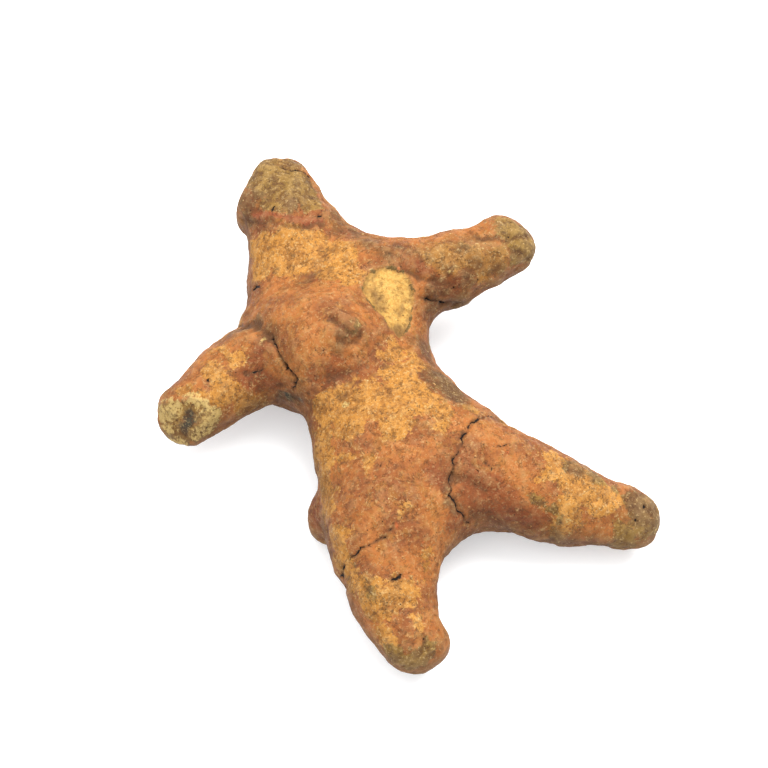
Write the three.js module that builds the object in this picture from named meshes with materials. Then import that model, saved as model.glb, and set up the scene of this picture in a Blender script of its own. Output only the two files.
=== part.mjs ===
// A hand-modelled pottery figure, lying on its back: a stump head, stump arms, spread legs,
// one breast and the scar where the other broke off.
// Millimetres, +Z up. The head points to +Y, the front faces +Z, and the figure's left is +X.
import * as THREE from "three";

// Driving dimensions
const HEIGHT = 145; // from the end of the longer leg to the top of the head
const GRID_STEP = 2.5; // spacing of the sampling grid: a smaller step gives more triangles
const LIMB_BLEND = 8; // how far a limb's root flows into the trunk
const BREAST_BLEND = 7; // how far the breast flows into the chest
const KNOB_BLEND = 3; // how far the small knobs of clay flow into the body
const EDGE_BLEND = 2.5; // rounding of the edges of the worn and broken faces
const SCAR_DEPTH = 0.9; // how deep the scar of the lost breast lies
const SCAR_EDGE = 2; // half width of the slope at the scar's edge
const MEND_WIDTH = 2.3; // half width of the grooves along the glued breaks
const MEND_DEPTH = 0.8; // depth of those grooves

// Places and radii below are in hundredths of the height. The origin is level with the middle
// of the height, on the surface that the figure lies on.
const PART = HEIGHT / 100;

// A station is a place on a limb's centre line, with the half width and half depth there.
const at = (x, y, z, wide, deep = wide) => ({
  centre: new THREE.Vector3(x, y, z).multiplyScalar(PART),
  wide: wide * PART,
  deep: deep * PART,
});

// The box that holds all the clay. Each limb and lump makes it large enough for itself.
const extent = new THREE.Box3();
function hold(centre, rx, ry, rz) {
  const radii = new THREE.Vector3(rx, ry, rz);
  extent.expandByPoint(centre.clone().sub(radii)).expandByPoint(centre.clone().add(radii));
}

const TRUNK = [
  at(-4, -22, 11, 9.6, 8.6),
  at(-2.7, -12, 11.4, 14.3, 10.4),
  at(-2.1, -1, 11.2, 12, 9.6),
  at(-1.8, 13, 10.1, 13.2, 10.6),
  at(-2.4, 22, 10.4, 12, 9.8),
  at(-2.1, 31, 12.8, 8.4, 7.6),
  at(-1.2, 36.8, 13.8, 7, 7.4),
  at(-2, 43.4, 14.4, 8, 7.2),
];
const RIGHT_ARM = [at(-12, 13.8, 11.8, 8.8), at(-21, 13, 11.2, 6.7), at(-32, 9.7, 10.8, 5.4)];
const LEFT_ARM = [at(7, 17.5, 13.5, 8.2), at(18, 15.4, 15, 6.4), at(29.9, 14.1, 16, 4.9)];
const RIGHT_LEG = [at(-11.5, -23.4, 10.6, 9.3), at(-14.6, -33, 9.2, 7), at(-15.3, -43.1, 7.8, 5.4)];
const LEFT_LEG = [at(6.8, -19.9, 11, 9.4), at(16.7, -29.8, 9.2, 7.5), at(27.2, -38.1, 7.4, 5)];
const SHOULDER_SLOPE = [at(1.2, 33, 13.4, 4), at(7, 24, 13.4, 3.2)];
const THIGH_RIDGE = [at(-4.6, -26, 15.6, 3), at(-7, -31, 12.6, 2.4), at(-10.4, -38, 8.6, 2)];
const CHIN = [at(-6.2, 36.6, 16.6, 1.6), at(-3.2, 33.8, 19.2, 1.9), at(2, 31.8, 18.2, 1.7)];
const SCAR = [at(6.6, 11.6, 20.5, 4.2), at(5.4, 5.2, 18.6, 1.8)];

// The stations of a limb, joined by a smooth centre line with smoothly changing radii.
function limb(stations) {
  for (const s of stations) hold(s.centre, s.wide, s.wide, s.deep);
  const line = new THREE.CatmullRomCurve3(stations.map((s) => s.centre));
  const spans = stations.length - 1;
  const beadsASpan = Math.ceil(line.getLength() / spans / GRID_STEP);
  const beads = [];
  for (let i = 0; i <= spans * beadsASpan; i++) {
    const t = i / beadsASpan;
    const k = Math.min(Math.floor(t), spans - 1);
    const mix = THREE.MathUtils.smoothstep(t - k, 0, 1) * 0.5 + (t - k) * 0.5;
    beads.push({
      centre: line.getPoint(t / spans),
      wide: THREE.MathUtils.lerp(stations[k].wide, stations[k + 1].wide, mix),
      deep: THREE.MathUtils.lerp(stations[k].deep, stations[k + 1].deep, mix),
    });
  }
  return (p) => {
    let nearest = Infinity;
    for (let i = 1; i < beads.length; i++) {
      nearest = Math.min(nearest, toSpan(p, beads[i - 1], beads[i]));
    }
    return nearest;
  };
}

// Distance from a point to the rounded span between two beads, negative inside.
const along = new THREE.Vector3();
const off = new THREE.Vector3();
function toSpan(p, a, b) {
  along.subVectors(b.centre, a.centre);
  off.subVectors(p, a.centre);
  const t = THREE.MathUtils.clamp(off.dot(along) / along.lengthSq(), 0, 1);
  const wide = THREE.MathUtils.lerp(a.wide, b.wide, t);
  const deep = THREE.MathUtils.lerp(a.deep, b.deep, t);
  off.addScaledVector(along, -t);
  const real = off.length();
  const stretched = Math.hypot(off.x, off.y, (off.z * wide) / deep);
  return stretched > 0 ? ((stretched - wide) * real) / stretched : -deep;
}

// A lump of clay: an ellipsoid of three radii, in hundredths of the height.
function lump(x, y, z, rx, ry, rz) {
  const centre = new THREE.Vector3(x, y, z).multiplyScalar(PART);
  const radii = new THREE.Vector3(rx, ry, rz).multiplyScalar(PART);
  hold(centre, radii.x, radii.y, radii.z);
  const q = new THREE.Vector3();
  return (p) => {
    q.subVectors(p, centre);
    const real = q.length();
    const unit = q.divide(radii).length();
    return unit > 0 ? (real * (unit - 1)) / unit : -Math.min(radii.x, radii.y, radii.z);
  };
}

// A plane through a place in hundredths of the height. The clay ends on its normal's side.
function face(x, y, z, nx, ny, nz) {
  return new THREE.Plane().setFromNormalAndCoplanarPoint(
    new THREE.Vector3(nx, ny, nz).normalize(),
    new THREE.Vector3(x, y, z).multiplyScalar(PART),
  );
}

// Smooth versions of min and max, rounded over a width.
function flow(a, b, width) {
  const h = Math.max(width - Math.abs(a - b), 0) / width;
  return Math.min(a, b) - (h * h * width) / 4;
}
const cut = (a, b, width) => -flow(-a, -b, width);

const trunk = limb(TRUNK);
const rightArm = limb(RIGHT_ARM);
const otherLimbs = [LEFT_ARM, RIGHT_LEG, LEFT_LEG].map(limb);
const shoulderSlope = limb(SHOULDER_SLOPE);
const breast = lump(-6.2, 8.6, 17, 9.5, 9, 8.5);
const knobs = [
  lump(-14.4, -15.8, 5.2, 7, 4.6, 6.4), // the right buttock, which shows beside the hip
  lump(6.4, -15, 5.2, 7, 5, 6.4), // the left buttock
  lump(-4, 5.6, 23.6, 3, 2.2, 3.2), // the nipple
  lump(18.6, 12.1, 13.4, 4, 2.8, 4), // under the left upper arm
  lump(-12.6, -45, 7, 2.8, 2.4, 4), // the inner side of the right foot
  lump(28.8, 16.4, 17.2, 4.4, 3.4, 3.8), // the top of the left hand
  limb(THIGH_RIDGE),
  limb(CHIN),
];
const scar = limb(SCAR);

// Worn and broken faces
const headFaces = [
  face(-1.2, 43, 20, 0, 0.3, 1), // the worn front of the head
  face(0, 48.4, 15, 0.2, 1, 0.1), // its top
  face(-6, 44.7, 16, -1, 1, 0.1), // the chipped corner
];
const brokenHand = face(-34.6, 8.6, 12, -0.7, -0.5, 0.6);

// The glued breaks: a plane through a limb's root, open as a groove within reach of its middle
const mend = (plane, x, y, z, reach) => ({
  plane,
  middle: new THREE.Vector3(x, y, z).multiplyScalar(PART),
  reach: reach * PART,
});
const mends = [
  mend(face(-14.7, 6.2, 19.3, -1, -0.15, 0.24), -15, 12, 11, 13), // the right arm
  mend(face(4.4, -23, 17.3, 0.5, -0.57, 0.65), 8, -25, 11, 17), // the left leg
  mend(face(-9.2, -28.1, 19.2, 0.165, -0.985, 0.035), -14, -29, 10, 13), // the right leg
];
function groove(p, { plane, middle, reach }) {
  const across = plane.distanceToPoint(p) / MEND_WIDTH;
  const near = 1 - THREE.MathUtils.smoothstep(p.distanceTo(middle), reach * 0.8, reach);
  return MEND_DEPTH * near * Math.exp(-across * across);
}

// The scar where the second breast broke off: its outline sinks into the skin by a small step.
function sunkenScar(p) {
  return SCAR_DEPTH * (1 - THREE.MathUtils.smoothstep(scar(p), -SCAR_EDGE, SCAR_EDGE));
}

function clay(p) {
  let d = trunk(p);
  for (const part of headFaces) d = cut(d, part.distanceToPoint(p), EDGE_BLEND);
  d = flow(d, shoulderSlope(p), LIMB_BLEND);
  d = flow(d, cut(rightArm(p), brokenHand.distanceToPoint(p), EDGE_BLEND), LIMB_BLEND);
  for (const part of otherLimbs) d = flow(d, part(p), LIMB_BLEND);
  d = flow(d, breast(p), BREAST_BLEND);
  for (const part of knobs) d = flow(d, part(p), KNOB_BLEND);
  d += sunkenScar(p);
  for (const part of mends) d += groove(p, part);
  return d;
}

// The surface where the field is zero, as one closed mesh: a vertex for each grid cell that the
// surface crosses, drawn onto the surface, and a quad across each grid edge that it crosses.
function skin(field, box, step) {
  const size = box.getSize(new THREE.Vector3());
  const n = ["x", "y", "z"].map((k) => Math.ceil(size[k] / step) + 1);
  const place = (i, j, k) =>
    new THREE.Vector3(box.min.x + i * step, box.min.y + j * step, box.min.z + k * step);
  const node = (i, j, k) => i + n[0] * (j + n[1] * k);
  const values = new Float32Array(n[0] * n[1] * n[2]);
  for (let k = 0; k < n[2]; k++)
    for (let j = 0; j < n[1]; j++)
      for (let i = 0; i < n[0]; i++) values[node(i, j, k)] = field(place(i, j, k));

  const corners = [0, 1, 2, 3, 4, 5, 6, 7].map((c) => [c & 1, (c >> 1) & 1, c >> 2]);
  const edges = [];
  for (let a = 0; a < 8; a++)
    for (const bit of [1, 2, 4]) if (!(a & bit)) edges.push([a, a | bit]);

  const vertexOf = new Map();
  const points = [];
  for (let k = 0; k < n[2] - 1; k++)
    for (let j = 0; j < n[1] - 1; j++)
      for (let i = 0; i < n[0] - 1; i++) {
        const v = corners.map(([a, b, c]) => values[node(i + a, j + b, k + c)]);
        const sum = new THREE.Vector3();
        let count = 0;
        for (const [a, b] of edges) {
          if (v[a] < 0 === v[b] < 0) continue;
          const t = v[a] / (v[a] - v[b]);
          const from = place(i + corners[a][0], j + corners[a][1], k + corners[a][2]);
          const to = place(i + corners[b][0], j + corners[b][1], k + corners[b][2]);
          sum.add(from.lerp(to, t));
          count++;
        }
        if (!count) continue;
        vertexOf.set(node(i, j, k), points.length);
        points.push(sum.divideScalar(count));
      }

  const faceIndex = [];
  const axes = [
    [1, 0, 0],
    [0, 1, 0],
    [0, 0, 1],
  ];
  for (let k = 1; k < n[2] - 1; k++)
    for (let j = 1; j < n[1] - 1; j++)
      for (let i = 1; i < n[0] - 1; i++)
        axes.forEach((axis, m) => {
          const here = values[node(i, j, k)] < 0;
          const there = values[node(i + axis[0], j + axis[1], k + axis[2])] < 0;
          if (here === there) return;
          const b = axes[(m + 1) % 3];
          const c = axes[(m + 2) % 3];
          const cell = (s, t) =>
            vertexOf.get(node(i - s * b[0] - t * c[0], j - s * b[1] - t * c[1], k - s * b[2] - t * c[2]));
          const ring = [cell(0, 0), cell(1, 0), cell(1, 1), cell(0, 1)];
          if (!here) ring.reverse();
          const short = points[ring[0]].distanceTo(points[ring[2]]);
          const other = points[ring[1]].distanceTo(points[ring[3]]);
          if (short > other) ring.push(ring.shift());
          faceIndex.push(ring[0], ring[1], ring[2], ring[0], ring[2], ring[3]);
        });
  return { points, faceIndex };
}

// Evens out the mesh: each point moves to the middle of its neighbours, then back onto the surface.
const RELAX_ROUNDS = 4;
function relax(points, faceIndex, field, step) {
  const neighbours = points.map(() => new Set());
  for (let f = 0; f < faceIndex.length; f += 3)
    for (let m = 0; m < 3; m++) {
      neighbours[faceIndex[f + m]].add(faceIndex[f + ((m + 1) % 3)]);
      neighbours[faceIndex[f + m]].add(faceIndex[f + ((m + 2) % 3)]);
    }
  for (let round = 0; round < RELAX_ROUNDS; round++) {
    const middles = points.map((p, i) => {
      const middle = new THREE.Vector3();
      for (const j of neighbours[i]) middle.add(points[j]);
      return middle.divideScalar(neighbours[i].size).lerp(p, 0.4);
    });
    middles.forEach((middle, i) => points[i].copy(settle(middle, field, step)));
  }
}

// Draws a point onto the surface by a few steps along the field's slope.
function settle(p, field, step) {
  const reach = step * 0.1;
  const probe = new THREE.Vector3();
  for (let turn = 0; turn < 3; turn++) {
    const here = field(p);
    const slope = new THREE.Vector3(
      field(probe.copy(p).setX(p.x + reach)) - here,
      field(probe.copy(p).setY(p.y + reach)) - here,
      field(probe.copy(p).setZ(p.z + reach)) - here,
    ).divideScalar(reach);
    const pull = THREE.MathUtils.clamp(here, -step / 3, step / 3);
    p.addScaledVector(slope, -pull / Math.max(slope.lengthSq(), 0.2));
  }
  return p;
}

// Presses flat what would lie under the surface, and moves the origin under the middle.
function layDown(points) {
  for (const p of points) p.z = Math.max(p.z, 0);
  const middle = new THREE.Box3().setFromPoints(points).getCenter(new THREE.Vector3()).setZ(0);
  for (const p of points) p.sub(middle);
}

const { points, faceIndex } = skin(clay, extent.expandByScalar(2.5 * GRID_STEP), GRID_STEP);
relax(points, faceIndex, clay, GRID_STEP);
layDown(points);

const geometry = new THREE.BufferGeometry().setFromPoints(points);
geometry.setIndex(faceIndex);
geometry.computeVertexNormals();

const terracotta = new THREE.MeshStandardMaterial({ color: 0xb8743c, roughness: 0.85, metalness: 0 });
const figure = new THREE.Mesh(geometry, terracotta);
figure.name = "figure";

const group = new THREE.Group();
group.add(figure);
export default group;
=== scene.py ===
"""A hand-modelled pottery figure, lying on its back on a pale floor."""
import math

import bmesh
import bpy
import numpy as np
from mathutils import Matrix, Vector, noise
from mathutils.bvhtree import BVHTree


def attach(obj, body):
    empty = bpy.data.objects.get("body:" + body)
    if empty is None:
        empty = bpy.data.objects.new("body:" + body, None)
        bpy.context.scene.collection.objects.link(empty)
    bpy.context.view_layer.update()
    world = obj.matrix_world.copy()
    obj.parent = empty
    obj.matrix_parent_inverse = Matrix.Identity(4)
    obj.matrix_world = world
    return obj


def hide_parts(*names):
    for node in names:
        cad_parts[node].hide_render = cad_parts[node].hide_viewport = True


MM = 0.001
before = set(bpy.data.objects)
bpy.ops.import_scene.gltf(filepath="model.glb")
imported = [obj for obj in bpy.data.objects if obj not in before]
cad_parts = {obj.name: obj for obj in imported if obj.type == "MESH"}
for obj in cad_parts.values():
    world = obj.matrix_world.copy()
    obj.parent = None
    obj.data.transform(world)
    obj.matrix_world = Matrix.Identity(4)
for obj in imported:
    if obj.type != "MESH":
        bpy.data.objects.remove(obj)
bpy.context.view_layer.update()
scene = bpy.context.scene

# The photograph's view: the camera looks down over the feet, a little from the figure's right.
PHOTO_SIDE = 768
VIEW_TURN = math.radians(-25)
VIEW_RISE = math.radians(58.2)
VIEW_DISTANCE = 620 * MM
VIEW_AIM = Vector((1.8, 0, 18)) * MM
MM_A_PIXEL = 0.245
SENSOR = 36

view_back = Vector((
    math.sin(VIEW_TURN) * math.cos(VIEW_RISE),
    -math.cos(VIEW_TURN) * math.cos(VIEW_RISE),
    math.sin(VIEW_RISE),
))
view_right = Vector((math.cos(VIEW_TURN), math.sin(VIEW_TURN), 0))
view_up = view_back.cross(view_right)
eye = VIEW_AIM + view_back * VIEW_DISTANCE


def make_camera():
    data = bpy.data.cameras.new("camera")
    data.sensor_width = SENSOR
    data.lens = SENSOR * VIEW_DISTANCE / (PHOTO_SIDE * MM_A_PIXEL * MM)
    data.clip_start = 0.01
    camera = bpy.data.objects.new("camera", data)
    camera.matrix_world = Matrix.LocRotScale(
        eye, Matrix((view_right, view_up, view_back)).transposed(), None
    )
    scene.collection.objects.link(camera)
    scene.camera = camera


# The fine mesh: the solid's form with a vertex about every half millimetre

VOXEL = 0.54 * MM
WELD = 0.01 * MM
SMOOTH_ROUNDS = 6


def fine_copy(node, name):
    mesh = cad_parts[node].data.copy()
    welded = bmesh.new()
    welded.from_mesh(mesh)
    bmesh.ops.remove_doubles(welded, verts=welded.verts, dist=WELD)
    welded.to_mesh(mesh)
    welded.free()
    piece = bpy.data.objects.new(name, mesh)
    scene.collection.objects.link(piece)
    rounder = piece.modifiers.new("rounder", "SUBSURF")
    rounder.levels = rounder.render_levels = 1
    voxels = piece.modifiers.new("voxels", "REMESH")
    voxels.mode = "VOXEL"
    voxels.voxel_size = VOXEL
    smooth = piece.modifiers.new("smooth", "SMOOTH")
    smooth.iterations = SMOOTH_ROUNDS
    seen = piece.evaluated_get(bpy.context.evaluated_depsgraph_get())
    fine = bpy.data.meshes.new_from_object(seen)
    piece.modifiers.clear()
    piece.data = fine
    fine.materials.clear()
    fine.shade_smooth()
    return piece


# Fields over the skin. Lengths are millimetres, and noise is about -1 to 1.

def noise_field(co, size, seed, octaves=1):
    shift = Vector((seed * 17.3, seed * 5.1, seed * 9.7))
    return np.array([noise.fractal(Vector(p) / size + shift, 1, 2, octaves) for p in co])


def warp_field(co, size, amount, seed):
    """Moves each place along x, y and z by a noise for each."""
    moves = [noise_field(co, size, seed + axis / 3) for axis in range(3)]
    return co + amount * np.stack(moves, axis=1)


def step(low, high, x):
    """0 up to low and 1 from high, with a smooth rise between."""
    t = np.clip((x - low) / (high - low), 0, 1)
    return t * t * (3 - 2 * t)


def bell(distance, width):
    return np.exp(-((distance / width) ** 2))


# A crack or pit further off than this, in its own half widths, doesn't show.
CRACK_FAR = 12.0
NOWHERE_NEAR = 1e9


class Skin:
    """The fine mesh as arrays, in millimetres, with what is painted and carved on it."""

    def __init__(self, piece):
        self.mesh = piece.data
        count = len(self.mesh.vertices)
        co = np.zeros(count * 3)
        out = np.zeros(count * 3, np.float32)
        self.mesh.vertices.foreach_get("co", co)
        self.mesh.vertex_normals.foreach_get("vector", out)
        self.co = co.reshape(-1, 3) / MM
        self.out = out.reshape(-1, 3).astype(float)
        self.tree = BVHTree.FromPolygons(
            self.co.tolist(), [tuple(f.vertices) for f in self.mesh.polygons]
        )
        self.rise = np.zeros(count)
        self.paint = {}
        self.crack = np.full(count, CRACK_FAR)
        self.crack_end = np.full(count, CRACK_FAR)
        self.pit = np.full(count, CRACK_FAR)
        bent = warp_field(self.co, size=2.6, amount=0.7, seed=1)
        self.torn = warp_field(bent, size=1, amount=0.45, seed=9)
        bent_wide = warp_field(self.co, size=7, amount=3, seed=2)
        self.torn_wide = warp_field(bent_wide, size=2.2, amount=1.2, seed=3)
        back = np.array(eye) / MM - self.co
        depth = back @ np.array(view_back)
        self.u = PHOTO_SIDE / 2 - (back @ np.array(view_right)) * self.pixels_at(depth)
        self.v = PHOTO_SIDE / 2 + (back @ np.array(view_up)) * self.pixels_at(depth)
        facing = (self.out * back).sum(1) / np.linalg.norm(back, axis=1)
        self.seen = step(-0.02, 0.25, facing)

    @staticmethod
    def pixels_at(depth):
        return VIEW_DISTANCE / MM / (MM_A_PIXEL * depth)

    def at_pixel(self, u, v):
        """The place on the skin that a pixel of the photograph shows."""
        slope = MM_A_PIXEL * MM / VIEW_DISTANCE
        ray = (
            -view_back
            + view_right * ((u - PHOTO_SIDE / 2) * slope)
            - view_up * ((v - PHOTO_SIDE / 2) * slope)
        )
        hit = self.tree.ray_cast(eye / MM, ray)[0]
        if hit is None:
            hit = self.tree.find_nearest(eye / MM + ray * (VIEW_DISTANCE / MM))[0]
        return np.array(hit)

    def from_spot(self, u, v, torn):
        return np.linalg.norm(torn - self.at_pixel(u, v), axis=1)

    def from_route(self, pixels, torn):
        """Distance from a line over the skin, given by pixels of the photograph."""
        ends = [self.at_pixel(*p) for p in pixels]
        near = np.full(len(self.co), NOWHERE_NEAR)
        for a, b in zip(ends, ends[1:]):
            along = b - a
            t = np.clip((torn - a) @ along / max(along @ along, 1e-9), 0, 1)
            near = np.minimum(near, np.linalg.norm(torn - a - t[:, None] * along, axis=1))
        return near

    def open_crack(self, pixels, width):
        """Keeps how far each vertex lies off a crack, in the crack's own half widths."""
        ends = [self.at_pixel(*p) for p in pixels]
        for a, b in zip(ends, ends[1:]):
            along = (b - a) / np.linalg.norm(b - a)
            t = np.clip((self.torn - a) @ along, 0, np.linalg.norm(b - a))
            gap = self.torn - a - t[:, None] * along
            near = np.linalg.norm(gap, axis=1) / width
            side = np.sign((np.cross(self.out, along) * gap).sum(1))
            straight = np.linalg.norm(gap - (gap @ along)[:, None] * along, axis=1) / width
            closer = near < self.crack_end
            self.crack = np.where(closer, side * straight, self.crack)
            self.crack_end = np.where(closer, near, self.crack_end)

    def from_outline(self, pixels):
        """Distance from an outline in the photograph's plane, negative inside."""
        near = np.full(len(self.co), NOWHERE_NEAR)
        inside = np.zeros(len(self.co), bool)
        u, v = self.u, self.v
        for (u0, v0), (u1, v1) in zip(pixels, pixels[1:] + pixels[:1]):
            along_u, along_v = u1 - u0, v1 - v0
            t = ((u - u0) * along_u + (v - v0) * along_v) / (along_u**2 + along_v**2)
            t = np.clip(t, 0, 1)
            near = np.minimum(near, np.hypot(u - u0 - t * along_u, v - v0 - t * along_v))
            crosses = (v0 > v) != (v1 > v)
            height = np.divide(v - v0, along_v, out=np.zeros_like(v), where=crosses)
            inside ^= crosses & (u < u0 + height * along_u)
        signed = np.where(inside, -near, near) * MM_A_PIXEL
        return np.where(self.seen > 0, signed, NOWHERE_NEAR)

    def add(self, name, amount):
        self.paint[name] = np.clip(np.maximum(self.paint.get(name, 0), amount), 0, 1)

    def cavity(self, rounds):
        """How deep each vertex lies below the mean of its surroundings, in millimetres."""
        ends = np.zeros(len(self.mesh.edges) * 2, int)
        self.mesh.edges.foreach_get("vertices", ends)
        a, b = ends.reshape(-1, 2).T
        count = len(self.co)
        share = np.bincount(a, minlength=count) + np.bincount(b, minlength=count)
        mean = self.co + self.out * self.rise[:, None]
        start = mean.copy()
        for _ in range(rounds):
            mean = np.stack([
                np.bincount(a, mean[b, k], count) + np.bincount(b, mean[a, k], count)
                for k in range(3)
            ], axis=1) / share[:, None]
        return ((mean - start) * self.out).sum(1)

    def finish(self):
        raised = self.co + self.out * self.rise[:, None]
        raised[:, 2] = np.maximum(raised[:, 2], 0)
        self.mesh.vertices.foreach_set("co", (raised * MM).ravel())
        self.paint |= {"crack": self.crack, "crack_end": self.crack_end, "pit": self.pit}
        for name, amount in self.paint.items():
            layer = self.mesh.attributes.new(name, "FLOAT", "POINT")
            layer.data.foreach_set("value", amount.astype(np.float32))
        self.mesh.update()


# Where the photograph shows each colour: pixel x, pixel y and reach in millimetres

OCHRE = {
    "throat": [(262, 248, 5), (288, 248, 7), (312, 254, 7), (335, 262, 6), (352, 276, 4), (262, 270, 4)],
    "belly": [(330, 408, 5), (352, 405, 6), (385, 400, 6), (415, 395, 6), (350, 425, 4), (398, 425, 4)],
    "flank": [(412, 362, 3), (414, 378, 3), (442, 412, 4), (476, 412, 2.5)],
    "beside the breast": [(392, 350, 3), (398, 372, 4)],
    "waist": [(322, 440, 5), (325, 468, 5), (327, 490, 4), (328, 505, 4), (345, 455, 2), (365, 460, 2)],
    "thigh": [
        (338, 540, 4), (346, 562, 4), (358, 580, 4), (380, 592, 4), (372, 604, 4), (408, 582, 4), (425, 556, 2),
    ],
    "shin": [(392, 612, 3), (385, 640, 3), (415, 625, 2), (402, 598, 3)],
    "right arm": [(222, 350, 2), (231, 360, 2), (212, 376, 3), (220, 390, 4), (238, 402, 3.5), (204, 398, 3)],
    "right arm's side": [(256, 406, 2.5), (252, 381, 1.2), (181, 391, 2), (244, 352, 1.5)],
    "left arm": [(438, 255, 4), (462, 258, 4), (482, 266, 4), (500, 258, 3), (446, 272, 3), (485, 283, 2)],
    "left leg": [(548, 455, 3), (562, 470, 5), (580, 486, 6), (604, 498, 5), (568, 512, 4), (560, 528, 3)],
    "groin": [(408, 511, 1.4)],
}
OLIVE = {
    "head": [
        (262, 178, 5), (284, 176, 7), (298, 192, 6), (285, 198, 6), (308, 204, 3), (270, 164, 4), (290, 162, 4),
    ],
    "right hand": [
        (168, 416, 3.5), (181, 411, 2.5), (194, 411, 2.5), (205, 420, 3),
        (200, 432, 3), (184, 437, 4), (172, 428, 4),
    ],
    "left hand": [(508, 230, 4), (526, 240, 5), (520, 256, 3)],
    "left foot": [(650, 518, 5), (636, 502, 3), (622, 540, 4), (598, 478, 2.5), (614, 486, 2)],
    "left leg's top": [(564, 463, 1.6), (576, 467, 1.8), (588, 472, 1.6)],
    "calf": [(540, 504, 2), (554, 510, 2), (558, 524, 2)],
    "flank": [(440, 376, 3), (450, 388, 4), (458, 400, 2)],
    "right foot": [(428, 656, 4), (408, 664, 4), (394, 655, 3), (374, 594, 2)],
    "nipple": [(355, 325, 1.6), (350, 333, 1), (330, 319, 0.8)],
}
TAWNY_SPOTS = {
    "left arm": [(428, 256, 4), (455, 255, 6), (485, 254, 6), (515, 244, 5), (465, 285, 4)],
    "neck": [(340, 222, 4), (362, 240, 4), (385, 256, 3)],
    "left flank": [(438, 372, 5), (452, 392, 5), (420, 345, 3), (470, 408, 3)],
    "head": [(270, 180, 6), (300, 185, 6)],
    "feet": [(642, 520, 6), (425, 650, 3)],
}
PALE = {
    "right hand": [
        (166, 413, 4), (180, 437, 4), (199, 430, 3.5), (206, 416, 3.5), (174, 423, 4), (190, 406, 3),
    ],
    "right shoulder": [
        (248, 356, 1), (253, 352, 1), (259, 348, 0.8), (264, 343, 0.7), (282, 352, 0.5), (296, 368, 0.5),
    ],
    # The nipple's pale tip is partly rubbed clay and partly a painted highlight.
    "nipple": [(349, 318, 0.6), (354, 323, 1), (357, 328, 1)],
    "feet": [(656, 526, 1.5), (438, 650, 1.2), (412, 671, 1)],
    "left arm": [(500, 224, 1), (530, 239, 0.8), (450, 270, 1.2)],
    "left leg": [(558, 446, 1), (568, 522, 1)],
    "belly": [(346, 402, 1.4), (398, 408, 1.4), (425, 402, 1.2)],
}
# The darker red-brown under the breast, on the left thigh's lower part and at the left arm's root is partly
# darker clay and partly painted shade.
RED = {
    "under the breast": [(310, 376, 3), (335, 376, 4), (356, 368, 3), (340, 356, 2)],
    "left thigh": [(500, 508, 6), (478, 492, 6), (530, 520, 4), (472, 478, 4)],
    "left shoulder": [(438, 288, 4), (452, 294, 4), (422, 272, 3)],
    "head": [(246, 205, 3.5), (258, 212, 3), (322, 190, 2)],
    "right arm": [(255, 378, 4), (270, 385, 4), (262, 352, 3)],
    "crotch": [(455, 520, 4), (440, 480, 4)],
    "right buttock": [(312, 512, 5)],
}
# Painted shade in both armpits, beside and below the nipple and along the left leg's lower edge; elsewhere this
# dark brown is mottling of the clay.
SHADE = {
    "right armpit": [(240, 322, 3.5), (258, 322, 3), (270, 336, 2.5)],
    "right shoulder": [(284, 397, 2.5), (297, 398, 3)],
    "left shoulder": [(375, 243, 3), (402, 248, 3), (386, 256, 2)],
    "left flank": [(441, 378, 5), (456, 394, 5), (431, 350, 4)],
    "left foot": [(648, 514, 4), (636, 500, 3)],
    "left armpit": [(436, 296, 4), (462, 304, 3), (476, 298, 2)],
    "head's side": [(246, 198, 4), (248, 218, 3), (262, 222, 2)],
    "breast": [(345, 341, 2.4), (336, 324, 1.2), (342, 329, 1.4), (348, 336, 1.4), (356, 338, 1)],
    "navel": [(414, 422, 1.2), (428, 423, 1)],
    "neck": [(338, 220, 2.5), (352, 234, 2.5)],
    "left arm": [(446, 270, 2), (474, 268, 2.5), (496, 268, 2.5), (462, 250, 1.5)],
    "head": [(258, 176, 1.5), (304, 196, 2), (284, 205, 1.5), (276, 180, 1)],
    "hip": [(452, 506, 3), (446, 490, 2)],
    "left leg's top": [(574, 468, 3), (590, 474, 2), (640, 490, 3)],
    "left leg's edge": [(560, 540, 4), (600, 546, 4)],
    "crown": [(262, 164, 2), (300, 162, 3)],
}
GREY = {
    "right armpit": [(284, 395, 1.4), (292, 398, 2), (300, 395, 1)],
    "navel": [(424, 423, 0.6), (428, 424, 0.4)],
}
EMBER = {
    "left leg": [(510, 451, 0.7), (554, 485, 0.7)], "scar": [(396, 272, 0.6)],
    "right thigh": [(402, 524, 0.8), (420, 540, 0.8)],
}
# The attribute that each colour is painted in, its places and how wide its torn edge is
ZONES = {
    "ochre": (OCHRE, 2.2), "olive": (OLIVE, 1.8), "pale": (PALE, 1.2), "tawny": (TAWNY_SPOTS, 3),
    "red": (RED, 3), "shade": (SHADE, 2.4), "core": (GREY, 1.2), "ember": (EMBER, 0.8),
}
CHIN_BAND = [(254, 215), (275, 215), (292, 218), (308, 222), (320, 221)]
CHIN_BAND_WIDTH = 1.1
HAND_CORE = [(191, 413), (189, 421), (185, 430)]
SCAR_OUTLINE = [
    (368, 274), (377, 269), (396, 268), (406, 274), (414, 291), (412, 311),
    (408, 329), (400, 337), (388, 325), (378, 311), (368, 300), (362, 288),
]


def reach_of(skin, spots, edge):
    """1 inside the reach of any of the spots, falling to 0 over the edge's width."""
    inside = np.zeros(len(skin.co))
    for u, v, reach in spots:
        near = skin.from_spot(u, v, skin.torn_wide) - reach
        inside = np.maximum(inside, 1 - step(-edge, edge, near))
    return inside


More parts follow.
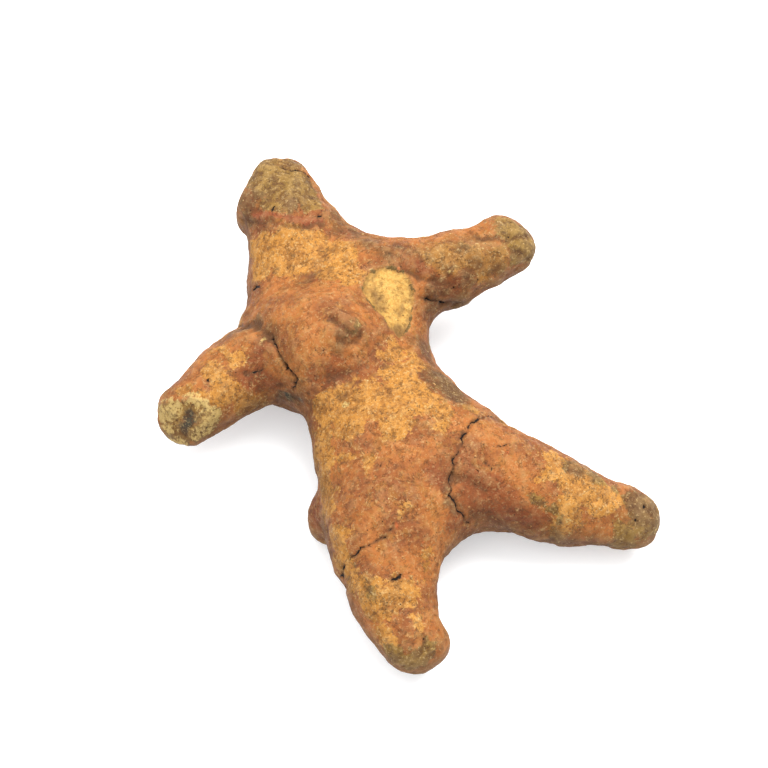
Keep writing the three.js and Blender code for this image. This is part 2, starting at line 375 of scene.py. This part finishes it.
def paint_zones(skin):
    """Each colour where the photograph shows it, and by noise on the sides that it doesn't show."""
    for name, (groups, edge) in ZONES.items():
        for spots in groups.values():
            skin.add(name, reach_of(skin, spots, edge) * skin.seen)
    unseen = 1 - skin.seen
    skin.add("ochre", unseen * step(-0.05, 0.35, noise_field(skin.co, 16, seed=4, octaves=3)))
    skin.add("olive", unseen * step(0.15, 0.5, noise_field(skin.co, 22, seed=5, octaves=2)) * 0.8)
    skin.add("red", unseen * step(0.05, 0.5, noise_field(skin.co, 20, seed=6, octaves=2)) * 0.7)
    skin.add("shade", unseen * step(0.1, 0.5, noise_field(skin.co, 18, seed=7, octaves=2)) * 0.6)
    band = bell(skin.from_route(CHIN_BAND, skin.torn), CHIN_BAND_WIDTH)
    skin.add("chin", band)
    for name in ("olive", "ochre"):
        skin.paint[name] = skin.paint[name] * (1 - band)


# Cracks, creases and ridges: pixels of the photograph along each, then its half width and its
# depth or height in millimetres. Pits: a pixel and a radius.

CRACKS = {
    "right shoulder": ([(270, 339), (275, 345), (280, 355), (286, 366)], 0.14, 0.9),
    "right shoulder's gap": ([(286, 366), (291, 371), (296, 376)], 0.28, 1.1),
    "right shoulder's end": ([(296, 376), (297, 382), (292, 390)], 0.14, 0.6),
    "left hip's top": ([(508, 424), (495, 418), (486, 417), (475, 422)], 0.13, 0.5),
    "left hip's gap": ([(475, 422), (467, 427)], 0.28, 0.9),
    "left hip": ([(466, 428), (461, 438), (459, 450), (453, 461), (452, 472)], 0.14, 0.8),
    "left hip's side": ([(452, 472), (449, 484), (450, 496)], 0.13, 0.7),
    "left hip's foot": ([(450, 496), (456, 502), (459, 512), (465, 519), (471, 524)], 0.12, 0.7),
    "right thigh": ([(408, 513), (397, 524), (384, 534)], 0.05, 0.3),
    "right thigh's middle": ([(384, 534), (372, 545), (361, 549)], 0.09, 0.4),
    "right thigh's side": ([(361, 549), (352, 558), (346, 566), (343, 576), (343, 586)], 0.13, 0.6),
    "crown": ([(285, 167), (291, 170), (297, 172), (303, 174), (309, 179)], 0.17, 0.5),
    "left armpit": ([(426, 299), (433, 301), (444, 304)], 0.2, 0.8),
    "right hand's ring": (
        [(169, 409), (180, 404), (194, 404), (206, 409), (212, 419), (207, 430)], 0.05, 0.15,
    ),
    "shin": ([(391, 580), (396, 579), (400, 576)], 0.18, 0.6),
    "chin's edge": ([(274, 208), (273, 215)], 0.16, 0.4),
    "left thigh": ([(474, 463), (478, 471)], 0.1, 0.2),
    "left thigh's second": ([(487, 463), (491, 470)], 0.1, 0.2),
    "armpit notch": ([(254, 291), (257, 288)], 0.3, 0.6),
    "left hip's hair": ([(496, 447), (506, 445)], 0.08, 0.1),
    "breast's hair": ([(318, 352), (334, 346)], 0.04, 0.1),
    "right arm's hair": ([(246, 376), (262, 370)], 0.09, 0.1),
    "left arm's hair": ([(484, 239), (498, 238), (512, 236)], 0.07, 0.2),
    "left hand": ([(514, 251), (521, 253)], 0.07, 0.1),
}
CREASES = {
    "under the chin": ([(243, 221), (258, 222), (275, 223), (300, 228), (322, 224)], 1.0, 0.45),
    "left arm": ([(476, 237), (487, 240), (500, 240), (517, 238), (527, 237)], 0.9, 0.5),
    "left hand": ([(514, 250), (520, 252), (528, 258)], 0.8, 0.3),
    "left shoulder": ([(400, 266), (410, 273), (422, 279), (436, 282)], 1.1, 0.6),
    "right armpit": ([(238, 318), (250, 322), (262, 330), (270, 339)], 1.6, 0.9),
    "beside the nipple": ([(330, 319), (338, 325), (346, 330), (350, 335)], 1.0, 1.1),
    "below the nipple": ([(340, 339), (348, 342), (356, 340), (361, 334)], 1.0, 0.6),
    "under the breast": ([(318, 378), (340, 376), (362, 366), (372, 352)], 1.6, 0.3),
    "right arm": ([(246, 375), (262, 370)], 1.0, 0.2),
    "hip": ([(455, 476), (470, 481), (482, 488)], 1.6, 0.35),
    "left armpit": ([(424, 298), (440, 303), (455, 305)], 1.0, 0.5),
    "left foot": ([(648, 543), (630, 551)], 3.0, 0.6),
    "inner thigh": ([(428, 508), (430, 525), (433, 545)], 0.5, 0.15),
    "inner thigh's second": ([(438, 530), (440, 552), (436, 578)], 0.6, 0.2),
    "inner thigh's third": ([(446, 515), (447, 530)], 0.5, 0.12),
}
RIDGES = {
    "nipple": ([(354, 322), (356, 327)], 1.1, 0.5),
    "nipple's crest": ([(334, 312), (344, 316), (354, 322)], 0.9, 0.7),
    "left hand": ([(500, 230), (520, 233)], 2.2, 0.5),
    "left arm": ([(474, 245), (500, 249)], 1.8, 0.3),
    "right shoulder": ([(262, 338), (274, 356), (284, 374)], 1.4, 0.35),
    "hip": ([(464, 469), (478, 473), (490, 480)], 2.2, 0.25),
    "left hip": ([(486, 424), (476, 432), (470, 446)], 1.8, 0.3),
    "scar": ([(387, 287), (391, 300), (394, 315)], 1.6, 0.3),
    "head's left corner": ([(264, 166), (267, 170)], 2.2, 0.5),
    "head's right corner": ([(297, 160), (300, 166)], 2.2, 0.5),
    "head's side": ([(240, 202), (243, 208)], 2.6, 0.4),
    "left hand's corner": ([(531, 244), (529, 250)], 2.4, 0.4),
    "right foot's corner": ([(443, 646), (438, 642)], 2.2, 0.4),
}
PITS = {
    "right arm": (207, 380, 0.45), "right hand": (171, 418, 0.35), "right hand's second": (177, 421, 0.3),
    "chest": (363, 345, 0.3), "chest's second": (362, 351, 0.35), "chest's third": (357, 357, 0.4),
    "left arm": (454, 289, 0.45), "left arm's second": (479, 279, 0.35), "thigh": (384, 535, 0.5),
    "knee": (416, 544, 0.25), "foot": (424, 639, 0.5), "toe": (403, 667, 0.5), "left foot": (645, 508, 0.45),
    "belly": (431, 413, 0.3), "hip": (349, 467, 0.35), "neck": (318, 250, 0.25), "left leg": (636, 521, 0.4),
    "belly's second": (380, 461, 0.25), "belly's third": (379, 466, 0.25), "head": (320, 216, 0.5),
    "scar's corner": (399, 266, 0.3),
}

# The glued breaks, in millimetres: a place on the break's plane, the direction across it, the
# middle of the limb there, and how far from that middle the break goes
MENDS = {
    "right arm": ((-19.7, 8.9, 28), (-1, -0.15, 0.24), (-20, 17, 16), 19),
    "left leg": ((8, -33.4, 25), (0.5, -0.57, 0.65), (13, -36, 16), 24),
    "right leg": ((-11.7, -40.8, 27.8), (0.165, -0.985, 0.035), (-18.5, -42, 14), 18),
}
MEND_DEPTH = 0.8
MEND_WIDTH = 0.45
MEND_CRACK = 0.22


def carve_lines(skin):
    """The cracks, creases, ridges and pits that the photograph shows, with painted shade along the cracks and
    in the creases.
    """
    ragged = np.maximum(0.15, 1.1 + 1.1 * noise_field(skin.co, 1.6, seed=21, octaves=3))
    for pixels, width, depth in CRACKS.values():
        near = skin.from_route(pixels, skin.torn)
        skin.rise -= depth * bell(near, width + 0.2)
        # Painted shade along the crack.
        skin.add("shade", bell(near, 0.5 + 2 * width) * 0.7)
        skin.open_crack(pixels, width * ragged)
    for pixels, width, depth in CREASES.values():
        crease_and_painted_shade = bell(skin.from_route(pixels, skin.torn), width)
        skin.rise -= depth * crease_and_painted_shade
        # Painted shade in the crease.
        skin.add("shade", crease_and_painted_shade * min(0.7, depth * 1.5))
    for pixels, width, height in RIDGES.values():
        skin.rise += height * bell(skin.from_route(pixels, skin.torn), width)
    for u, v, radius in PITS.values():
        near = skin.from_spot(u, v, skin.torn) / radius
        skin.rise -= radius * np.exp(-((near / 1.2) ** 4))
        skin.pit = np.minimum(skin.pit, near)


def carve_mends(skin):
    """The glued breaks go on round the sides that the photograph doesn't show, with painted shade along them.
    """
    for place, across, middle, reach in MENDS.values():
        direction = np.array(across) / np.linalg.norm(across)
        off = (skin.torn_wide * 0.35 + skin.torn * 0.65 - place) @ direction
        near = 1 - step(reach * 0.85, reach, np.linalg.norm(skin.co - middle, axis=1))
        hidden = near * (1 - skin.seen)
        skin.rise -= MEND_DEPTH * bell(off, MEND_WIDTH) * hidden
        # Painted shade along the mend's groove.
        skin.add("shade", bell(off, 1) * hidden * 0.7)
        open_here = (hidden > 0.5) & (np.abs(off) / MEND_CRACK < skin.crack_end)
        skin.crack = np.where(open_here, off / MEND_CRACK, skin.crack)
        skin.crack_end = np.where(open_here, 0, skin.crack_end)


def carve_scar(skin):
    """The pale scar of the lost breast: a level floor with a ragged dark edge."""
    near = skin.from_outline(SCAR_OUTLINE) + 0.5 * noise_field(skin.co, 1.4, seed=8, octaves=3)
    inside = 1 - step(-0.3, 0.3, near)
    skin.rise -= inside * (0.3 + 0.12 * noise_field(skin.co, 2, seed=15, octaves=2))
    skin.rise += 0.12 * bell(near - 0.6, 0.5)
    skin.add("scar", inside)
    skin.add("scar_edge", bell(near, 0.4) * step(-0.2, 0.3, noise_field(skin.co, 2.2, seed=18)))
    for name in ("ochre", "olive", "pale", "tawny", "red", "shade"):
        skin.paint[name] = skin.paint[name] * (1 - inside)


def carve_hand(skin):
    """The broken right hand: a pale, raised ring round a dark grey core."""
    core = skin.from_route(HAND_CORE, skin.torn)
    uneven = core + 0.9 * noise_field(skin.co, 1.6, seed=17, octaves=3)
    skin.add("core", 1 - step(0.7, 2, uneven))
    patchy = step(-0.3, 0.2, noise_field(skin.co, 2.4, seed=19, octaves=2))
    skin.add("shade", 0.8 * bell(core - 4, 0.8) * patchy)
    skin.paint["pale"] = skin.paint["pale"] * step(1.6, 3, uneven)
    skin.rise += 0.3 * bell(core - 4.2, 0.7) - 0.4 * (1 - step(0.5, 2.6, core))


def relief_and_painted_shade(skin):
    """The uneven, hand-pressed surface with its grain and crusts; painted shade in its hollows and creases and
    on its downward sides, and paler raised points.
    """
    smooth = 1 - 0.7 * skin.paint["scar"]
    pressed = 0.7 - 2.2 * np.abs(noise_field(skin.co, 12, seed=11))
    dented = noise_field(skin.co, 4.5, seed=12, octaves=2)
    grain = noise_field(skin.co, 1.5, seed=13, octaves=3)
    crust = noise_field(skin.co, 0.9, seed=14, octaves=2)
    skin.rise += 0.5 * pressed + smooth * (0.32 * dented + 0.13 * grain)
    skin.rise += skin.paint["ochre"] * (0.1 + 0.1 * crust)
    crusty = 0.65 + skin.paint["ochre"] + skin.paint["olive"]
    skin.add("rough", crusty * (1 - 0.65 * skin.paint["scar"]))
    hollow = skin.cavity(6)
    # Painted shade: darker in the small hollows.
    skin.add("hollow", step(0.01, 0.12, hollow))
    # Paler on the raised points.
    skin.add("raised_paler", step(0.01, 0.12, -hollow) * step(3, 9, skin.crack_end))
    # Painted shade: darker in the broad valleys and creases.
    skin.add("crease_and_painted_shade", step(0.1, 0.7, skin.cavity(60)))
    # Painted shade: darker on the sides that face sideways and down.
    level = skin.out[:, 2] + 0.15 * noise_field(skin.co, 6, seed=16, octaves=2)
    skin.add("side", (1 - step(-0.4, 0.85, level)) * step(-1.3, -0.6, level))


# Materials

def linear(r, g, b):
    """A screen colour of 0 to 255 a channel as the linear colour that the nodes take."""
    def channel(c):
        c = c / 255
        return c / 12.92 if c <= 0.04045 else ((c + 0.055) / 1.055) ** 2.4

    return (channel(r), channel(g), channel(b), 1)


class Nodes:
    """Short calls for a material's node tree."""

    def __init__(self, name):
        self.material = bpy.data.materials.new(name)
        self.material.use_nodes = True
        self.tree = self.material.node_tree
        self.shader = self.tree.nodes["Principled BSDF"]

    def make(self, kind, **values):
        node = self.tree.nodes.new(kind)
        for key, value in values.items():
            setattr(node, key, value)
        return node

    def join(self, source, target):
        if isinstance(source, bpy.types.NodeSocket):
            self.tree.links.new(source, target)
        else:
            target.default_value = source

    def attribute(self, name):
        return self.make("ShaderNodeAttribute", attribute_name=name).outputs["Fac"]

    def noise(self, size_mm, detail=3, rough=0.55, swirl=0.0):
        where = self.make("ShaderNodeTexCoord").outputs["Object"]
        node = self.make("ShaderNodeTexNoise")
        self.join(where, node.inputs["Vector"])
        node.inputs["Scale"].default_value = 1 / (size_mm * MM)
        node.inputs["Detail"].default_value = detail
        node.inputs["Roughness"].default_value = rough
        node.inputs["Distortion"].default_value = swirl
        return node.outputs["Fac"]

    def cells(self, size_mm):
        where = self.make("ShaderNodeTexCoord").outputs["Object"]
        node = self.make("ShaderNodeTexVoronoi")
        self.join(where, node.inputs["Vector"])
        node.inputs["Scale"].default_value = 1 / (size_mm * MM)
        return node.outputs["Distance"], node.outputs["Color"]

    def ramp(self, x, low, high, to_low=0.0, to_high=1.0):
        node = self.make("ShaderNodeMapRange", interpolation_type="SMOOTHSTEP")
        self.join(x, node.inputs["Value"])
        for key, value in zip(("From Min", "From Max", "To Min", "To Max"), (low, high, to_low, to_high)):
            node.inputs[key].default_value = value
        return node.outputs["Result"]

    def math(self, operation, a, b=0.0):
        node = self.make("ShaderNodeMath", operation=operation)
        self.join(a, node.inputs[0])
        self.join(b, node.inputs[1])
        return node.outputs[0]

    def mix(self, share, a, b):
        node = self.make("ShaderNodeMix", data_type="RGBA", blend_type="MIX")
        self.join(share, node.inputs["Factor"])
        self.join(a, node.inputs["A"])
        self.join(b, node.inputs["B"])
        return node.outputs["Result"]

    def strokes(self, size_mm, width, share):
        """Short hair lines, where a noise passes through its middle value."""
        off = self.math("ABSOLUTE", self.math("SUBTRACT", self.noise(size_mm, 3, 0.6, 1.5), 0.5))
        here = self.ramp(self.noise(size_mm * 0.8, 4, 0.6), 1 - share, 1.03 - share)
        return self.math("MULTIPLY", self.ramp(off, width, width * 0.4), here)

    def specks(self, size_mm, radius, share):
        """Small spots: a share of the cells of a size holds one, of a radius in cells."""
        distance, shade = self.cells(size_mm)
        spot = self.ramp(distance, radius, radius * 0.6)
        return self.math("MULTIPLY", spot, self.ramp(shade, 1 - share, 1 - share + 0.08))


ORANGE = linear(148, 88, 40)
BRICK = linear(118, 66, 31)
TAWNY = linear(136, 90, 40)
EARTH = linear(100, 70, 34)
OCHRE_LIGHT = linear(164, 112, 46)
OCHRE_BRIGHT = linear(192, 142, 71)
OCHRE_DEEP = linear(132, 86, 34)
OLIVE_BROWN = linear(80, 57, 26)
OLIVE_PALE = linear(122, 94, 43)
BLEACHED_OLIVE_AND_HIGHLIGHT = linear(172, 146, 88)
DEEP_RED = linear(106, 50, 25)
EMBER_RED = linear(184, 84, 38)
CHIN_RED = linear(124, 60, 34)
SHADE_BROWN = linear(80, 52, 30)
# Painted shade for the sides that face sideways and down.
SIDE_SHADE_BROWN = linear(72, 48, 26)
CORE_GREY = linear(54, 51, 40)
SCAR_PALE = linear(183, 144, 76)
SCAR_WARM = linear(170, 127, 60)
EDGE_OLIVE = linear(66, 58, 28)
CRACK_DARK = linear(20, 13, 9)
GRAIN_PALE = linear(184, 156, 106)


def clay_colour(n, fine, mottle):
    """The colours of the zones, each broken up by noise, from the bare clay to the crusts."""
    uneven = n.math("ADD", n.math("SUBTRACT", fine, 0.5), n.math("SUBTRACT", mottle, 0.5))

    def share_of(name, amount, low, high, most):
        torn = n.math("MULTIPLY", uneven, amount)
        return n.ramp(n.math("ADD", n.attribute(name), torn), low, high, 0, most)

    colour = n.mix(n.ramp(n.noise(9, 4), 0.4, 0.62), ORANGE, BRICK)
    colour = n.mix(n.ramp(n.noise(3, 5, 0.65, 1.2), 0.5, 0.6, 0, 0.55), colour, TAWNY)
    colour = n.mix(n.ramp(n.noise(1.2, 5, 0.75, 0.8), 0.58, 0.64, 0, 0.35), colour, OCHRE_LIGHT)

    crumb = n.math("MULTIPLY", n.noise(1.1, 5, 0.75), 0.5)
    crust = n.math("ADD", crumb, n.math("MULTIPLY", n.noise(4.5, 3), 0.5))
    ochre = n.mix(n.ramp(crust, 0.42, 0.56), OCHRE_DEEP, OCHRE_LIGHT)
    ochre = n.mix(n.ramp(n.noise(0.7, 4, 0.7, 0.6), 0.56, 0.64, 0, 0.5), ochre, OCHRE_BRIGHT)
    colour = n.mix(share_of("ochre", 1.7, 0.4, 0.62, 0.92), colour, ochre)
    colour = n.mix(share_of("tawny", 1, 0.1, 1, 0.5), colour, EARTH)
    colour = n.mix(share_of("red", 1.3, 0.3, 0.9, 0.7), colour, DEEP_RED)
    colour = n.mix(share_of("chin", 1, 0.4, 0.8, 0.85), colour, CHIN_RED)
    olive = n.mix(n.ramp(crust, 0.44, 0.56), OLIVE_BROWN, OLIVE_PALE)
    colour = n.mix(share_of("olive", 1.7, 0.35, 0.65, 0.85), colour, olive)
    # Partly painted shade: the armpits, the nipple's shadow and the left leg's lower edge; elsewhere dark
    # mottling.
    colour = n.mix(share_of("shade", 1.2, 0.15, 1, 0.75), colour, SHADE_BROWN)
    # Painted shade on the sides that face sideways and down.
    colour = n.mix(share_of("side", 1, 0, 0.95, 0.6), colour, SIDE_SHADE_BROWN)
    # Bleached clay, and on the nipple's tip partly a painted highlight.
    colour = n.mix(share_of("pale", 2.8, 0.6, 1.1, 0.8), colour, BLEACHED_OLIVE_AND_HIGHLIGHT)

    scar = n.mix(n.ramp(n.noise(0.8, 5, 0.7), 0.42, 0.56), SCAR_WARM, SCAR_PALE)
    colour = n.mix(n.attribute("scar"), colour, scar)
    colour = n.mix(share_of("scar_edge", 1.5, 0.4, 0.65, 0.85), colour, EDGE_OLIVE)
    colour = n.mix(share_of("ember", 2, 0.4, 0.7, 0.4), colour, EMBER_RED)
    core = n.math("MULTIPLY", n.attribute("core"), n.ramp(fine, 0.3, 0.45, 0.3, 1))
    return n.mix(core, colour, CORE_GREY)


def crack_lines(n):
    """The open cracks, as lines with sharp ragged edges, and the pits."""
    ragged = n.math("MULTIPLY", n.math("SUBTRACT", n.noise(0.6, 4, 0.7), 0.5), 4)
    across = n.math("ADD", n.math("ABSOLUTE", n.attribute("crack")), ragged)
    line = n.math("MULTIPLY", n.ramp(across, 1.25, 0.75), n.ramp(n.attribute("crack_end"), 3, 2))
    pit = n.ramp(n.math("ADD", n.attribute("pit"), n.math("MULTIPLY", ragged, 0.3)), 1.1, 0.8)
    return n.math("MAXIMUM", line, pit)


def clay_material():
    """Worn fired clay: the zones' colours, then grit, pores, hair lines, dark flecks, painted shade in the
    creases and hollows, paler raised points and open cracks.
    """
    n = Nodes("terracotta")
    fine = n.noise(0.9, 5, 0.7)
    mottle = n.noise(3.2, 4, 0.6)
    colour = clay_colour(n, fine, mottle)

    rough = n.attribute("rough")
    gritty = n.ramp(n.noise(6, 3), 0.48, 0.6)
    grain = n.math("MULTIPLY", n.specks(2.2, 0.12, 0.35), gritty)
    pore = n.math("MULTIPLY", n.specks(1.3, 0.16, 0.35), n.ramp(n.noise(4, 3), 0.56, 0.46))
    fleck = n.specks(0.7, 0.36, 0.4)
    scratch = n.strokes(2.1, 0.035, 0.48)
    pale_hair = n.strokes(1.5, 0.03, 0.42)
    crumbs = n.math("MULTIPLY", n.ramp(n.noise(1.7, 3, 0.65, 2), 0.6, 0.64), gritty)
    marks = (
        (n.ramp(fine, 0.56, 0.64), 0.4, GRAIN_PALE),
        (n.ramp(fine, 0.44, 0.37), 0.6, SHADE_BROWN),
        (fleck, 0.35, SHADE_BROWN),
        (pale_hair, 0.4, GRAIN_PALE),
        (crumbs, 0.35, GRAIN_PALE),
        (scratch, 0.6, SHADE_BROWN),
    )
    for mark, share, mark_colour in marks:
        colour = n.mix(n.math("MULTIPLY", n.math("MULTIPLY", mark, rough), share), colour, mark_colour)
    colour = n.mix(n.math("MULTIPLY", grain, 0.8), colour, GRAIN_PALE)
    colour = n.mix(n.math("MULTIPLY", pore, 0.75), colour, CRACK_DARK)
    # Painted shade in the broad valleys and creases.
    colour = n.mix(n.math("MULTIPLY", n.attribute("crease_and_painted_shade"), 0.6), colour, SHADE_BROWN)
    # Painted shade in the small hollows.
    colour = n.mix(n.math("MULTIPLY", n.attribute("hollow"), 0.5), colour, SHADE_BROWN)
    # Paler on the raised points.
    colour = n.mix(n.math("MULTIPLY", n.attribute("raised_paler"), 0.12), colour, GRAIN_PALE)
    crack = crack_lines(n)
    colour = n.mix(crack, colour, CRACK_DARK)

    n.join(colour, n.shader.inputs["Base Color"])
    n.join(n.ramp(mottle, 0.3, 0.7, 0.6, 0.85), n.shader.inputs["Roughness"])
    n.shader.inputs["Specular IOR Level"].default_value = 0.2

    height = n.math("ADD", n.math("MULTIPLY", fine, 0.6), n.math("MULTIPLY", n.noise(0.4, 3, 0.6), 0.4))
    height = n.math("SUBTRACT", height, n.math("MULTIPLY", pore, 0.6))
    height = n.math("SUBTRACT", height, n.math("MULTIPLY", scratch, 0.3))
    height = n.math("ADD", height, n.math("MULTIPLY", grain, 0.3))
    height = n.math("SUBTRACT", height, crack)
    bump = n.make("ShaderNodeBump")
    bump.inputs["Strength"].default_value = 0.9
    bump.inputs["Distance"].default_value = 0.5 * MM
    n.join(height, bump.inputs["Height"])
    n.join(bump.outputs["Normal"], n.shader.inputs["Normal"])
    return n.material


def make_figure():
    piece = fine_copy("figure", "figure_skin")
    skin = Skin(piece)
    paint_zones(skin)
    carve_lines(skin)
    carve_mends(skin)
    carve_scar(skin)
    carve_hand(skin)
    relief_and_painted_shade(skin)
    skin.finish()
    piece.data.materials.append(clay_material())
    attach(piece, "root")
    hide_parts("figure")


# The floor and the light

FLOOR_HALF = 3.0
FLOOR_DROP = 0.05 * MM
FLOOR_COLOUR = (0.7, 0.7, 0.7, 1)
# A lit white table: the glow keeps the shadows as pale as the photograph's.
FLOOR_GLOW = 0.4
FLOOR_GLOW_COLOUR = (0.94, 0.97, 1, 1)
# Soft round lamps: place and width in metres, and power in watts
LAMPS = {"key": ((0.38, 0.12, 0.82), 0.8, 12), "top": ((-0.1, 0.1, 1), 2.4, 29)}
SKY_COLOUR = (1, 1, 1, 1)
SKY_STRENGTH = 0.5


def make_stage():
    mesh = bpy.data.meshes.new("floor")
    sides = ((-1, -1), (1, -1), (1, 1), (-1, 1))
    corners = [(x * FLOOR_HALF, y * FLOOR_HALF, -FLOOR_DROP) for x, y in sides]
    mesh.from_pydata(corners, [], [(0, 1, 2, 3)])
    floor = bpy.data.objects.new("floor", mesh)
    scene.collection.objects.link(floor)
    white = Nodes("pale_floor")
    white.shader.inputs["Base Color"].default_value = FLOOR_COLOUR
    white.shader.inputs["Emission Color"].default_value = FLOOR_GLOW_COLOUR
    white.shader.inputs["Emission Strength"].default_value = FLOOR_GLOW
    white.shader.inputs["Roughness"].default_value = 0.9
    white.shader.inputs["Specular IOR Level"].default_value = 0.1
    mesh.materials.append(white.material)


def area_light(name, place, size, power):
    data = bpy.data.lights.new(name, "AREA")
    data.shape = "DISK"
    data.size = size
    data.energy = power
    lamp = bpy.data.objects.new(name, data)
    lamp.location = place
    lamp.rotation_euler = (-Vector(place)).to_track_quat("-Z", "Y").to_euler()
    scene.collection.objects.link(lamp)


def make_light():
    for name, (place, size, power) in LAMPS.items():
        area_light(name, place, size, power)
    world = bpy.data.worlds.new("studio")
    world.use_nodes = True
    sky = world.node_tree.nodes["Background"]
    sky.inputs["Color"].default_value = SKY_COLOUR
    sky.inputs["Strength"].default_value = SKY_STRENGTH
    scene.world = world
    scene.view_settings.view_transform = "Standard"


make_camera()
make_figure()
make_stage()
make_light()
